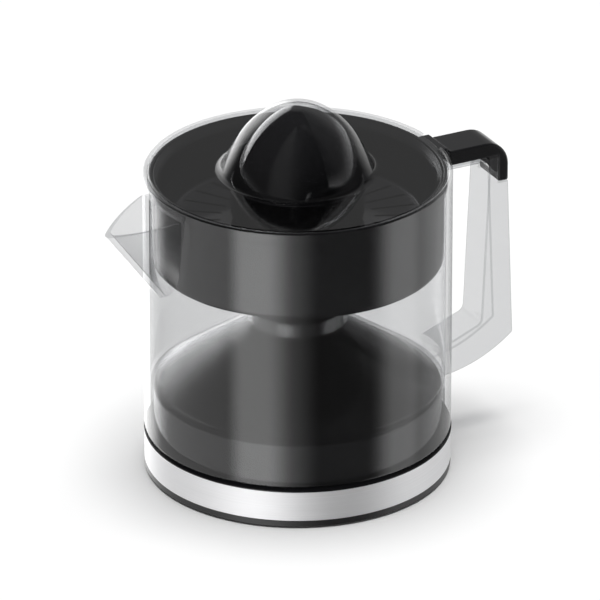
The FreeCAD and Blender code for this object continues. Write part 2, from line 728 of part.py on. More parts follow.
def handle_cap():
    arm_z = JUG_RIM_Z - HANDLE_TOP
    top_z = arm_z + CAP_T
    leg_z = JUG_RIM_Z - CAP_LEG_FOOT
    seat = grip_out_top - CAP_LEG_T
    corner = CAP_ROUND * (1 - math.sqrt(0.5))
    cap = slab(
        HANDLE_W, (cap_start, arm_z), (cap_start, top_z), (grip_out_top - CAP_ROUND, top_z),
        ((grip_out_top - corner, top_z - corner), (grip_out_top, top_z - CAP_ROUND)),
        (grip_out_top, leg_z), (seat, leg_z), (seat, arm_z))
    sides = [e for e in cap.Edges if is_cap_crown(e, arm_z, leg_z)]
    return cap.makeFillet(CAP_EDGE, sides)


def is_cap_crown(edge, arm_z, leg_z):
    """The long edges along the cap's two sides, on its outside."""
    middle = edge.CenterOfMass
    on_side = abs(abs(middle.y) - HANDLE_W / 2) < 0.01
    top = middle.z > arm_z + CAP_T - CAP_ROUND / 2
    back = middle.x > grip_out_top - CAP_ROUND / 2
    return on_side and (top or back) and abs(middle.z - leg_z) > 0.01


def juice_bowl():
    inner = bowl_r - BOWL_WALL
    floor_top = bowl_floor_z + BOWL_WALL
    seat_r = lip_r - BOWL_WALL
    in_edge = BOWL_EDGE - BOWL_WALL / 2
    tube_foot = chimney_top_z + COLLAR_H - LEDGE_DROP
    tube_top = strainer_z - STRAINER_T - LOOSE
    bowl = turned(
        (hub_in_r, tube_foot), (hub_out_r, tube_foot), (hub_out_r, bowl_floor_z),
        (bowl_r - BOWL_EDGE, bowl_floor_z), (bowl_r, bowl_floor_z + BOWL_EDGE),
        (bowl_r, jug_ledge_z + FREE), (lip_r, jug_ledge_z + FREE), (lip_r, bowl_rim_z), (seat_r, bowl_rim_z),
        (seat_r, strainer_seat_z), (inner, strainer_seat_z), (inner, floor_top + in_edge),
        (inner - in_edge, floor_top), (hub_out_r, floor_top), (hub_out_r, tube_top), (hub_in_r, tube_top))
    for k in range(OUTLET_COUNT):
        bowl = bowl.cut(outlet(360.0 * (k + 0.5) / OUTLET_COUNT))
    tab = block(0, JUG_R + TAB_REACH, -TAB_W / 2, TAB_W / 2, bowl_rim_z - TAB_T, bowl_rim_z)
    return fused([bowl, tab.cut(disc(lip_r - BOWL_WALL / 2, 0, JUG_RIM_Z))])


def outlet(middle_deg):
    """Curved slot in the bowl's floor for the juice."""
    depth = 3 * BOWL_WALL
    wedge = Part.makeCylinder(OUTLET_R + OUTLET_W, depth, Vector(0, 0, bowl_floor_z - BOWL_WALL),
                              Vector(0, 0, 1), OUTLET_DEG)
    slot = wedge.cut(disc(OUTLET_R, 0, JUG_RIM_Z))
    return slot.rotated(Vector(0, 0, 0), Vector(0, 0, 1), middle_deg - OUTLET_DEG / 2)


def strainer():
    rim_r = lip_r - BOWL_WALL - FREE
    seat_z = strainer_seat_z + FREE
    rim_z = bowl_rim_z - RUN
    inner_r = rim_r - STRAINER_RIM_W
    low_z = rim_z - STRAINER_RIM_SLOPE
    under = strainer_z - STRAINER_T
    floor_in = STRAINER_FLOOR_R - STRAINER_WALL
    body = turned(
        (SPINDLE_R + RUN, strainer_z - HUB_DROP), (hub_in_r - LOOSE, strainer_z - HUB_DROP),
        (hub_in_r - LOOSE, under), (STRAINER_FLOOR_R, under),
        (bowl_r - BOWL_WALL - FREE, seat_z), (rim_r, seat_z), (rim_r, rim_z), (inner_r, low_z),
        (inner_r - STRAINER_WALL / 2, seat_z), (floor_in, strainer_z), (SPINDLE_R + RUN, strainer_z))
    slot = block(SLOT_IN_R, SLOT_OUT_R, -SLOT_W / 2, SLOT_W / 2, under, strainer_z)
    return body.cut(Part.Compound(turned_copies(slot, SLOT_COUNT)))


def drive_spindle():
    parts = [disc(SPINDLE_R, spindle_foot_z, spindle_flange_z),
             disc(SPINDLE_FLANGE_R, spindle_flange_z, spindle_hex_z),
             hexagon(SPINDLE_HEX, spindle_hex_z, spindle_top_z)]
    return fused(parts).cut(hexagon(SHAFT_FLATS + 2 * HEX_PLAY, spindle_foot_z, spindle_top_z))


def spindle_clip():
    top = strainer_z - HUB_DROP - FREE
    return ring(SPINDLE_R + HUB_WALL, SPINDLE_R, top - CLIP_T, top)


def circle_through(a, b, c):
    """Centre and radius of the circle through three points."""
    bx, by = b[0] - a[0], b[1] - a[1]
    cx, cy = c[0] - a[0], c[1] - a[1]
    twice = 2 * (bx * cy - by * cx)
    x = (cy * (bx ** 2 + by ** 2) - by * (cx ** 2 + cy ** 2)) / twice
    y = (bx * (cx ** 2 + cy ** 2) - cx * (bx ** 2 + by ** 2)) / twice
    return a[0] + x, a[1] + y, math.hypot(x, y)


def cone_radius(drop):
    """Rib radius at a depth below the apex, on the arc through tip, middle and foot."""
    tip, middle, foot = (CONE_TIP_R, 0.0), (CONE_MID_R, CONE_MID_DROP), (CONE_R, CONE_RIB_H)
    x, y, radius = circle_through(tip, middle, foot)
    return x + math.sqrt(radius ** 2 - (drop - y) ** 2)


def cone_section(drop):
    """Rib corners joined by bowed facets, at a depth below the apex."""
    z = apex_z - drop
    rib = cone_radius(drop)
    step = 360.0 / CONE_RIBS
    edges = []
    for k in range(CONE_RIBS):
        start = CONE_RIB_TURN + k * step
        facet = at_angle(rib * CONE_FACET, start + step / 2, z)
        edges.append(Part.Arc(at_angle(rib, start, z), facet, at_angle(rib, start + step, z)).toShape())
    return Part.Wire(edges)


def ribbed_cone():
    """Loft through sections, from the skirt up to the apex."""
    drops = [CONE_RIB_H * k / CONE_LEVELS for k in range(CONE_LEVELS, -1, -1)]
    return Part.makeLoft([cone_section(drop) for drop in drops], True, True)


def short_rib(degrees):
    """Low rib on the middle of a facet."""
    foot = (CONE_R - SHORT_RIB_DIP, apex_z - CONE_RIB_H)
    top = (cone_radius(SHORT_RIB_TOP) * CONE_FACET, apex_z - SHORT_RIB_TOP)
    rib = slab(SHORT_RIB_T, (0.0, foot[1]), foot, (bowed(foot, top, -SHORT_RIB_BOW), top), (0.0, top[1]))
    return rib.rotated(Vector(0, 0, 0), Vector(0, 0, 1), degrees)


def reamer():
    skirt_z = apex_z - CONE_RIB_H
    skirt = disc(CONE_R, cone_foot_z, skirt_z)
    ribs = [short_rib(CONE_RIB_TURN + (k + 0.5) * 360.0 / CONE_RIBS) for k in range(CONE_RIBS)]
    outside = fused([ribbed_cone(), skirt] + ribs)
    roof = shaft_top_z + FREE
    hollow_top = roof + SOCKET_WALL
    hollow = turned((0, cone_foot_z), (CONE_R - CONE_WALL, cone_foot_z), (CONE_R - CONE_WALL, skirt_z),
                    (cone_radius(apex_z - hollow_top) * CONE_FACET - CONE_WALL, hollow_top), (0, hollow_top))
    hub_foot = spindle_hex_z + PRESS + FREE
    socket_flats = SPINDLE_HEX + 2 * HEX_PLAY
    hub = disc(socket_flats / math.sqrt(3) + SOCKET_WALL, hub_foot, hollow_top)
    return fused([outside.cut(hollow), hub]).cut(hexagon(socket_flats, hub_foot, roof))


def cover_dome(inset):
    """Solid of the dome, from the sheet up: a flank arc that meets a round top, in even steps."""
    centre_z = JUG_RIM_Z - DOME_ARC_DROP
    flank_r = DOME_ARC_R - inset
    cap_r = DOME_CAP_R - inset
    lift = math.sqrt((flank_r - cap_r) ** 2 - DOME_ARC_IN ** 2)
    meet = math.atan2(lift, DOME_ARC_IN)
    low = math.asin((cover_sheet_z - centre_z) / flank_r)
    points = [(0, cover_sheet_z)]
    for k in range(DOME_STEPS + 1):
        angle = low + (math.pi / 2 - low) * k / DOME_STEPS
        if angle < meet:
            points.append((-DOME_ARC_IN + flank_r * math.cos(angle), centre_z + flank_r * math.sin(angle)))
        else:
            points.append((cap_r * math.cos(angle), centre_z + lift + cap_r * math.sin(angle)))
    return turned(*points)


def dust_cover():
    sheet = disc(lip_r, cover_sheet_z, cover_sheet_z + COVER_SHEET)
    foot_r = DOME_ARC_R - DOME_ARC_IN
    foot_z = cover_sheet_z + COVER_SHEET
    foot = turned((0, foot_z), (foot_r + DOME_FOOT, foot_z), (foot_r, foot_z + DOME_FOOT), (0, foot_z + DOME_FOOT))
    return fused([sheet, foot, cover_dome(0.0)]).cut(cover_dome(COVER_SHEET))


os.makedirs("parts", exist_ok=True)

pieces = {
    "base_housing": base_housing, "steel_band": steel_band, "base_plate": base_plate,
    "rubber_feet": rubber_feet, "base_screws": base_screws, "cord_gland": cord_gland,
    "motor_can": motor_can, "motor_coil": motor_coil, "rotor_axle": rotor_axle, "rotor_magnet": rotor_magnet,
    "rotor_pinion": rotor_pinion, "gearbox_plate": gearbox_plate, "gearbox_cover": gearbox_cover,
    "gearbox_screws": gearbox_screws, "idler_axle": idler_axle, "idler_gear": idler_gear,
    "output_gear": output_gear, "drive_shaft": drive_shaft, "shaft_clip": shaft_clip,
    "return_spring": return_spring, "shaft_bush": shaft_bush, "shaft_seal": shaft_seal,
    "microswitch": microswitch, "switch_lever": switch_lever, "jug": jug, "handle_cap": handle_cap,
    "juice_bowl": juice_bowl, "strainer": strainer, "drive_spindle": drive_spindle,
    "spindle_clip": spindle_clip, "reamer": reamer, "dust_cover": dust_cover,
}
for name, make in pieces.items():
    save(name, make())
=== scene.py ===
import math

import bmesh
import bpy
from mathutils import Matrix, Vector


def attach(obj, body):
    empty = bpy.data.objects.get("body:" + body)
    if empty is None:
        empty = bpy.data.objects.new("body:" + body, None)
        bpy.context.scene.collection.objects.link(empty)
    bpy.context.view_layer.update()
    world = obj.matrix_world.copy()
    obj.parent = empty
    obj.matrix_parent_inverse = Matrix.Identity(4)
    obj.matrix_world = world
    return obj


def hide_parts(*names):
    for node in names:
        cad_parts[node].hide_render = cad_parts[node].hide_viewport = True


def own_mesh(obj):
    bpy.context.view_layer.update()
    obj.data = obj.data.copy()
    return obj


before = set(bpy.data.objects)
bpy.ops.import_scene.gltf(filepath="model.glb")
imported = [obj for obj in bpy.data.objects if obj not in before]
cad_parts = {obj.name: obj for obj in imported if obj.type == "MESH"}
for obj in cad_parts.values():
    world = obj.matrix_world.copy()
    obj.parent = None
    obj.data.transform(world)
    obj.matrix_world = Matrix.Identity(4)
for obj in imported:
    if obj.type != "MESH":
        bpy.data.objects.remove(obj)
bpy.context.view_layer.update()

# Citrus press juicer. Sizes are in millimetres, in the frame's own axes:
# +Z up along the drive axis, handle towards +X, spout towards -X.
MM = 0.001
COLUMNS = 192           # columns of a turned piece
SHARP_DEG = 32.0        # edges that turn more than this look sharp
JOIN = 1e-6             # points this close are one, in metres
GAP = 3e-6              # slits this narrow are closed, in metres
SLIT_SIDES = 12
FAR = 200.0             # past every piece, for cutting tools

# Base
PLATE_Z = 4.1
BAND_TOP = 19.7
BAND_IN_R = 75.9
BAND_EDGE = 0.2
LIP_R = 76.8
LEDGE_Z = 20.5
SKIRT_R = 71.8
SHOULDER_Z = 44.0
SHOULDER_DROP = 0.6     # outer edge of the roof, below the shoulder
NECK_R = 21.9
NECK_FOOT_Z = 75.7
NECK_TOP_Z = 84.5
BOSS_R = 10.0
BOSS_TOP_Z = 93.0
BOSS_FOOT_Z = 70.0
SEAL_R = 8.0
SEAL_H = 3.0
BUSH_R = 7.0
HOUSING_WALL = 2.2
GLAND_R = 4.5
GLAND_Z = 12.0
GLAND_HOLE_IN = 12.0    # start of the hole inside the jug's outline
GLAND_HOLE_L = 20.0
GLAND_COLUMNS = 48

# Jug
JUG_R = 76.5
JUG_RIM_Z = 159.5
JUG_FOOT_Z = 20.8
JUG_FOOT_ROUND = 2.6
JUG_IN_R = 73.3
JUG_WALL = 3.2
RIM_IN_R = 74.1
RIM_LEDGE_Z = 151.7
RIM_ROUND = 1.1
FLOOR_GAP = 0.6         # jug floor over the housing's roof
FLOOR_T = 2.0
SHOULDER_R = 69.8
CHIMNEY_R = 24.0
CHIMNEY_IN_R = 22.3
CHIMNEY_TOP_Z = 87.0
CHIMNEY_TOP_T = 1.7
COLLAR_R = 12.8
COLLAR_IN_R = 11.0
COLLAR_TOP_Z = 97.0
SPOUT_HALF_DEG = 15.5
SPOUT_REACH = 28.7
SPOUT_LIP_Z = 153.5     # lip where it leaves the wall
SPOUT_DIP = 8.5         # lip's tip below that
SPOUT_HOLLOW = 0.4      # top of the hollow over the lip
SPOUT_FOOT_Z = 106.0
SPOUT_FOOT_HALF = 1.0
SPOUT_WALL = 2.0
SPOUT_TIP_R = 2.2
SPOUT_KEEL_R = 8.0
SPOUT_NOSE = 0.6        # largest nose radius against the half width
SPOUT_ROUND = 14        # how soon the foot widens
SPOUT_BOW = 2.0
NOTCH_HALF = 10.3
NOTCH_Z = 155.2
NOTCH_X = (60.0, 90.0)

# Handle and its cap
HANDLE_W = 20.5
HANDLE_ROOT_R = 74.9
HANDLE_ROOT_Z = 33.0
HANDLE_ARM_Z = 148.2
HANDLE_UNDER_Z = 146.0
HANDLE_IN_TOP = 102.5
HANDLE_IN_FOOT = 98.5
HANDLE_OUT_TOP = 113.0
HANDLE_HEEL = (116.5, 49.5)
HANDLE_FOOT_Z = 58.0
HANDLE_LOWER_Z = 48.6
HANDLE_SAG = 3.5
HANDLE_ROUND = 4.0
HANDLE_EDGE = 0.8
CAP_SEAT = 107.5
CAP_LEG_Z = 134.0
CAP_START = 80.1
CAP_TOP_Z = 156.0
CAP_ROUND = 13.0
CAP_EDGE = 1.0

# Faces of the jug told by their place and normal: the thicker handle, and painted shade (a darker
# clear tint) on the handle's edges and the beak's lip
HANDLE_FROM_X = JUG_R + 0.5
SHADED_BEAK_FROM_X = -JUG_R - 0.3
SHADED_EDGE_TILT = (0.2, 0.97)
SHADED_LIP_TILT = 0.7

# Bowl
BOWL_RIM_Z = 158.0
BOWL_FLOOR_Z = 111.0
BOWL_R = 72.4
BOWL_WALL = 2.2
BOWL_LIP_R = 73.8
BOWL_LIP_GAP = 0.3      # lip over the jug's ledge
BOWL_LIP_ROUND = 1.0
STEP_Z = 154.0
HUB_IN_R = 13.4
HUB_OUT_R = 15.4
TUBE_FOOT_Z = 89.2
TUBE_TOP_Z = 130.4
OUTLETS = 4
OUTLET_IN_R = 28.0
OUTLET_OUT_R = 36.0
OUTLET_DEG = 40.0
OUTLET_FIRST_DEG = 45.0
OUTLET_UNDER = 5.0      # cutting tool below and above the floor
OUTLET_OVER = 8.0
TAB_HALF = 10.0
TAB_ROOT = 1.0          # start of the tab inside the lip
TAB_END = 78.8
TAB_T = 2.5
TAB_EDGE = 0.7

# Strainer
STRAINER_Z = 133.0
STRAINER_T = 2.0
STRAINER_HUB_Z = 116.0
STRAINER_BORE_R = 8.05
STRAINER_SEAT_Z = 154.3
STRAINER_FOOT_R = 64.0
STRAINER_WALL_R = 69.9
STRAINER_LIP_R = 71.3
STRAINER_LIP_Z = 157.95
STRAINER_BEVEL = (68.7, 155.55)
STRAINER_IN_R = 67.8
STRAINER_IN_FOOT_R = 62.2
SLOTS = 30
SLOT_IN_R = 38.0
SLOT_OUT_R = 60.0
SLOT_W = 1.8
SLOT_SPARE = 1.0        # cutting tool past both faces

# Cone
CONE_APEX_Z = 192.3
CONE_FOOT_Z = 136.8
CONE_R = 33.0
CONE_RIB_H = 38.3
CONE_TIP_R = 3.0
CONE_MID = (24.2, 14.2)
CONE_FACET = 0.84       # facet's middle against its ribs, at the top
CONE_FACET_FOOT = 0.97
CONE_TURN_DEG = 0.5
CONE_WALL = 2.6
CONE_HOLLOW_Z = 154.0   # hollow's wall ends here, and its roof lies higher
CONE_ROOF = (18.0, 166.0)
CONE_ROOF_IN_R = 0.5
CONE_ROWS = 26
CONE_ROW_POWER = 1.3    # rows lie closer at the tip
CONE_COLUMNS = 240
CONE_SHARP_DEG = 28.0
SHORT_RIB_T = 2.2
SHORT_RIB_TOP = 20.0
SHORT_RIB_DIP = 1.2

# Cover and spring
COVER_Z = 158.2
COVER_T = 1.4
COVER_COLUMNS = 256
DOME_ARC_IN = 8.7
DOME_ARC_R = 45.0
DOME_CENTRE_Z = 152.0
DOME_CAP_R = 28.0
DOME_FLARE = 4.0
DOME_FLARE_ROWS = 3     # rows of the dome that the flare takes up
DOME_LEAN_DEG = 29.0    # flank runs straight below here


# Mesh tools
def new_object(name, data):
    obj = bpy.data.objects.new(name, data)
    bpy.context.scene.collection.objects.link(obj)
    return obj


def shade(obj, sharp_deg=SHARP_DEG):
    """Smooth but for edges sharper than sharp_deg."""
    mesh = obj.data
    mesh.polygons.foreach_set("use_smooth", [True] * len(mesh.polygons))
    mesh.set_sharp_from_angle(angle=math.radians(sharp_deg))


def finish_mesh(name, verts, faces, sharp_deg=SHARP_DEG):
    """Smooth object from millimetre points."""
    mesh = bpy.data.meshes.new(name)
    mesh.from_pydata([Vector(v) * MM for v in verts], [], faces)
    obj = new_object(name, mesh)
    bm = bmesh.new()
    bm.from_mesh(mesh)
    bmesh.ops.remove_doubles(bm, verts=bm.verts, dist=JOIN)
    bmesh.ops.recalc_face_normals(bm, faces=bm.faces)
    bm.to_mesh(mesh)
    bm.free()
    shade(obj, sharp_deg)
    return obj


def apply_modifiers(obj):
    bpy.context.view_layer.update()
    done = obj.evaluated_get(bpy.context.evaluated_depsgraph_get())
    mesh = bpy.data.meshes.new_from_object(done)
    obj.modifiers.clear()
    obj.data = mesh
    return obj


def boolean(obj, tool, operation):
    """Changes obj by tool, which is used up."""
    step = obj.modifiers.new("combine", "BOOLEAN")
    step.operation = operation
    step.solver = "EXACT"
    step.object = tool
    apply_modifiers(obj)
    bpy.data.objects.remove(tool)
    return obj


def bevel(obj, width, segments=3):
    step = obj.modifiers.new("edges", "BEVEL")
    step.width = width * MM
    step.segments = segments
    step.limit_method = "ANGLE"
    step.angle_limit = math.radians(SHARP_DEG)
    step.use_clamp_overlap = True
    apply_modifiers(obj)
    shade(obj)
    return obj


def close_gaps(obj):
    """Joins points and fills slits that a boolean leaves."""
    bm = bmesh.new()
    bm.from_mesh(obj.data)
    bmesh.ops.remove_doubles(bm, verts=bm.verts, dist=GAP)
    bmesh.ops.dissolve_degenerate(bm, edges=bm.edges, dist=JOIN)
    slits = [edge for edge in bm.edges if edge.is_boundary]
    bmesh.ops.holes_fill(bm, edges=slits, sides=SLIT_SIDES)
    bmesh.ops.recalc_face_normals(bm, faces=bm.faces)
    bm.to_mesh(obj.data)
    bm.free()
    shade(obj)
    return obj


def even_normals(obj):
    """Large faces keep their own normals, so that round edges don't bend them."""
    step = obj.modifiers.new("normals", "WEIGHTED_NORMAL")
    step.mode = "FACE_AREA"
    step.weight = 90
    step.keep_sharp = True
    apply_modifiers(obj)


def rounded(points, steps=5):
    """Closed outline; a point (r, z, radius) gets a round corner."""
    straight = math.pi - 0.01
    line = []
    count = len(points)
    for k, point in enumerate(points):
        here = Vector(point[:2])
        radius = point[2] if len(point) > 2 else 0.0
        before = (Vector(points[k - 1][:2]) - here).normalized()
        after = (Vector(points[(k + 1) % count][:2]) - here).normalized()
        turn = before.angle(after)
        if radius <= 0.0 or turn > straight:
            line.append(tuple(here))
            continue
        reach = radius / math.tan(turn / 2)
        middle = here + (before + after).normalized() * (radius / math.sin(turn / 2))
        first = here + before * reach - middle
        last = here + after * reach - middle
        for s in range(steps + 1):
            way = first.slerp(last, s / steps).normalized()
            line.append(tuple(middle + way * radius))
    return line


def lathe(name, outline, columns=COLUMNS):
    """Closed outline of (r, z) points turned about the Z axis."""
    count = len(outline)
    on_axis = [r < JOIN for r, z in outline]
    verts = []
    for c in range(columns):
        turn = 2 * math.pi * c / columns
        verts += [(r * math.cos(turn), r * math.sin(turn), z) for r, z in outline]
    faces = []
    for c in range(columns):
        here, beside = c * count, (c + 1) % columns * count
        for k in range(count):
            up = (k + 1) % count
            if not (on_axis[k] and on_axis[up]):
                faces.append((here + k, beside + k, beside + up, here + up))
    return finish_mesh(name, verts, faces)


def stack(name, loops, sharp_deg=SHARP_DEG):
    """Solid through loops of (x, y, z) points that match one to one."""
    count = len(loops[0])
    last = (len(loops) - 1) * count
    faces = [tuple(range(count)), tuple(range(last, last + count))]
    for row in range(0, last, count):
        for k in range(count):
            beside = (k + 1) % count
            faces.append((row + k, row + beside, row + count + beside, row + count + k))
    return finish_mesh(name, [point for loop in loops for point in loop], faces, sharp_deg)


def prism(name, outline, z0, z1):
    """Outline of (x, y) points, from z0 up to z1."""
    return stack(name, [[(x, y, z) for x, y in outline] for z in (z0, z1)])


def slab(name, outline, width):
    """Outline of (x, z) points, width thick about the XZ plane."""
    return stack(name, [[(x, y, z) for x, z in outline] for y in (-width / 2, width / 2)])


def box(name, x0, x1, y0, y1, z0, z1):
    return prism(name, [(x0, y0), (x1, y0), (x1, y1), (x0, y1)], z0, z1)


def ring(radii, turn_deg=0.0):
    """Points (x, y) at these radii, evenly round the Z axis."""
    first = math.radians(turn_deg)
    turns = [first + 2 * math.pi * k / len(radii) for k in range(len(radii))]
    return [(r * math.cos(turn), r * math.sin(turn)) for r, turn in zip(radii, turns)]


def cylinder(name, radius, z0, z1, count=COLUMNS):
    return prism(name, ring([radius] * count), z0, z1)


def bow(start, end, sag, steps=10):
    """Points after start on a shallow arc to end, sag to the left of the line."""
    a, b = Vector(start), Vector(end)
    side = Vector((-(b - a).y, (b - a).x)).normalized()
    points = []
    for s in range(1, steps + 1):
        share = s / steps
        points.append(tuple(a.lerp(b, share) + side * sag * 4 * share * (1 - share)))
    return points


# Material tools
CLEAR_INDEX = 1.77      # shine of both faces of a thin clear wall
CLEAR_ROUGH = (0.02, 0.05)
CLEAR_CLOUD = 12.0      # size of a pattern: how often it changes in a metre
EDGE_ON = (0.7, 1.0)    # facing, from where a clear wall darkens to where it is darkest
NOISE_SPAN = (0.3, 0.7)     # most of a noise lies between these
PLASTIC_INDEX = 1.55
PLASTIC_CLOUD = 18.0
PLASTIC_BUMP = 0.15
BRUSH_LINES = (14.0, 14.0, 2600.0)
BRUSH_ROUGH = (0.42, 0.52)
BRUSH_DEPTH = 0.00002
BRUSH_BUMP = 0.1


def feed(tree, socket, value):
    """Links an output to a socket, or sets a number or colour on it."""
    if isinstance(value, bpy.types.NodeSocket):
        tree.links.new(value, socket)
    else:
        socket.default_value = value


def add(tree, kind, **inputs):
    """New shader node, with its inputs fed by name."""
    node = tree.nodes.new("ShaderNode" + kind)
    for key, value in inputs.items():
        feed(tree, node.inputs[key.replace("_", " ")], value)
    return node


def math_node(tree, operation, *values):
    node = add(tree, "Math")
    node.operation = operation
    for socket, value in zip(node.inputs, values):
        feed(tree, socket, value)
    return node.outputs[0]


def bare_tree(owner):
    """Empty node tree of a material or world."""
    owner.use_nodes = True
    owner.node_tree.nodes.clear()
    return owner.node_tree


def end_mixed(tree, share, first, second, output="OutputMaterial"):
    """Ends the tree with two shaders, mixed by share."""
    mix = add(tree, "MixShader", Fac=share)
    tree.links.new(first, mix.inputs[1])
    tree.links.new(second, mix.inputs[2])
    add(tree, output, Surface=mix.outputs["Shader"])


def noise(tree, scale, detail=3.0, vector=None):
    if vector is None:
        vector = add(tree, "TexCoord").outputs["Object"]
    return add(tree, "TexNoise", Scale=scale, Detail=detail, Vector=vector).outputs["Fac"]


def stretched(tree, scale):
    """Object coordinates, scaled apart along the axes."""
    coord = add(tree, "TexCoord").outputs["Object"]
    return add(tree, "Mapping", Scale=scale, Vector=coord).outputs["Vector"]


def spread(tree, source, low, high):
    """Value from low to high as a noise goes over the middle of its range."""
    node = add(tree, "MapRange", Value=source, To_Min=low, To_Max=high,
               From_Min=NOISE_SPAN[0], From_Max=NOISE_SPAN[1])
    return node.outputs["Result"]


def tint(tree, source, low, high, span=NOISE_SPAN):
    """Colour from low to high as the source goes over span."""
    node = add(tree, "ValToRGB", Fac=source)
    for stop, place, colour in zip(node.color_ramp.elements, span, (low, high)):
        stop.position = place
        stop.color = (*colour, 1.0)
    return node.outputs["Color"]


def principled(name, **values):
    """Principled material, its tree and its shader; values go on the shader's own sockets."""
    mat = bpy.data.materials.new(name)
    mat.use_nodes = True
    shader = mat.node_tree.nodes["Principled BSDF"]
    for key, value in values.items():
        shader.inputs[key].default_value = value
    return mat, mat.node_tree, shader


def vary(tree, shader, pattern, dark, light, rough):
    """Colour and roughness that follow a pattern."""
    feed(tree, shader.inputs["Base Color"], tint(tree, pattern, dark, light))
    feed(tree, shader.inputs["Roughness"], spread(tree, pattern, *rough))


def bump(tree, shader, source, distance, strength):
    node = add(tree, "Bump", Distance=distance, Strength=strength, Height=source)
    feed(tree, shader.inputs["Normal"], node.outputs["Normal"])


def plastic(name, dark, light, rough, grain=900.0, depth=0.00002):
    mat, tree, shader = principled(name, IOR=PLASTIC_INDEX)
    vary(tree, shader, noise(tree, PLASTIC_CLOUD), dark, light, rough)
    bump(tree, shader, noise(tree, grain, detail=2.0), depth, PLASTIC_BUMP)
    return mat


def metal(name, dark, light, rough, scale=(40.0, 40.0, 40.0)):
    mat, tree, shader = principled(name, Metallic=1.0)
    vary(tree, shader, noise(tree, 1.0, detail=4.0, vector=stretched(tree, scale)), dark, light, rough)
    return mat


def brushed_band(name, dark, light):
    """Satin steel, brushed round the band."""
    mat, tree, shader = principled(name, Metallic=0.75, Anisotropic=0.5)
    lines = noise(tree, 1.0, vector=stretched(tree, BRUSH_LINES))
    vary(tree, shader, lines, dark, light, BRUSH_ROUGH)
    tangent = add(tree, "Tangent")
    tangent.direction_type = "RADIAL"
    tangent.axis = "Z"
    feed(tree, shader.inputs["Tangent"], tangent.outputs["Tangent"])
    bump(tree, shader, lines, BRUSH_DEPTH, BRUSH_BUMP)
    return mat


def clear_plastic(name, clear, edge):
    """Thin clear plastic: what is behind shows unbent, darker through a wall
    seen edge on, and its outer side shines."""
    mat = bpy.data.materials.new(name)
    tree = bare_tree(mat)
    facing = add(tree, "LayerWeight").outputs["Facing"]
    window = add(tree, "BsdfTransparent", Color=tint(tree, facing, clear, edge, EDGE_ON))
    rough = spread(tree, noise(tree, CLEAR_CLOUD), *CLEAR_ROUGH)
    shine = add(tree, "BsdfGlossy", Roughness=rough)
    fresnel = add(tree, "Fresnel", IOR=CLEAR_INDEX)
    side = add(tree, "NewGeometry")
    outer = math_node(tree, "SUBTRACT", 1.0, side.outputs["Backfacing"])
    share = math_node(tree, "MULTIPLY", fresnel.outputs["Fac"], outer)
    end_mixed(tree, share, window.outputs["BSDF"], shine.outputs["BSDF"])
    return mat


black_gloss = plastic("black_gloss", (0.010, 0.010, 0.011), (0.014, 0.014, 0.015), (0.06, 0.10),
                      60.0, 0.000004)
black_satin = plastic("black_satin", (0.016, 0.016, 0.017), (0.024, 0.024, 0.025), (0.35, 0.5),
                      400.0, 0.0001)
rubber = plastic("rubber", (0.018, 0.018, 0.018), (0.03, 0.03, 0.03), (0.6, 0.8), 300.0, 0.0002)
white_gear = plastic("white_gear", (0.78, 0.76, 0.70), (0.86, 0.85, 0.80), (0.35, 0.5))
ferrite = plastic("ferrite", (0.05, 0.05, 0.055), (0.09, 0.09, 0.095), (0.6, 0.75), 500.0, 0.0001)
brushed = brushed_band("brushed_steel", (0.88, 0.88, 0.89), (0.95, 0.95, 0.96))
zinc = metal("zinc_steel", (0.55, 0.56, 0.58), (0.66, 0.67, 0.68), (0.3, 0.45))
bright = metal("bright_steel", (0.66, 0.67, 0.69), (0.74, 0.75, 0.76), (0.14, 0.22),
               (30.0, 30.0, 900.0))
bronze = metal("bronze", (0.50, 0.33, 0.14), (0.62, 0.44, 0.22), (0.3, 0.42))
copper = metal("copper", (0.60, 0.26, 0.13), (0.72, 0.36, 0.20), (0.28, 0.4), (20.0, 20.0, 1800.0))
clear_jug = clear_plastic("clear_jug", (0.895, 0.897, 0.900), (0.65, 0.655, 0.66))
clear_thick = clear_plastic("clear_thick", (0.835, 0.838, 0.842), (0.60, 0.605, 0.61))
# Darker clear tint: painted shade for the dark lines at the jug's edges and the beak's lip
clear_edge_painted_shade = clear_plastic("clear_edge_painted_shade", (0.66, 0.665, 0.67), (0.45, 0.455, 0.46))
clear_cover = clear_plastic("clear_cover", (0.945, 0.947, 0.950), (0.75, 0.755, 0.76))


def paint(obj, mat):
    obj.data.materials.clear()
    obj.data.materials.append(mat)


def dress(piece, body, mat, node):
    even_normals(piece)
    paint(piece, mat)
    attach(piece, body)
    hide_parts(node)


# Base
def gland_hole():
    """Hole for the cord gland, through the back of housing and band."""
    tool = cylinder("gland_hole", GLAND_R, 0.0, GLAND_HOLE_L, GLAND_COLUMNS)
    for v in tool.data.vertices:
        x, y, z = v.co
        v.co = (x, (JUG_R - GLAND_HOLE_IN) * MM + z, GLAND_Z * MM + y)
    return tool


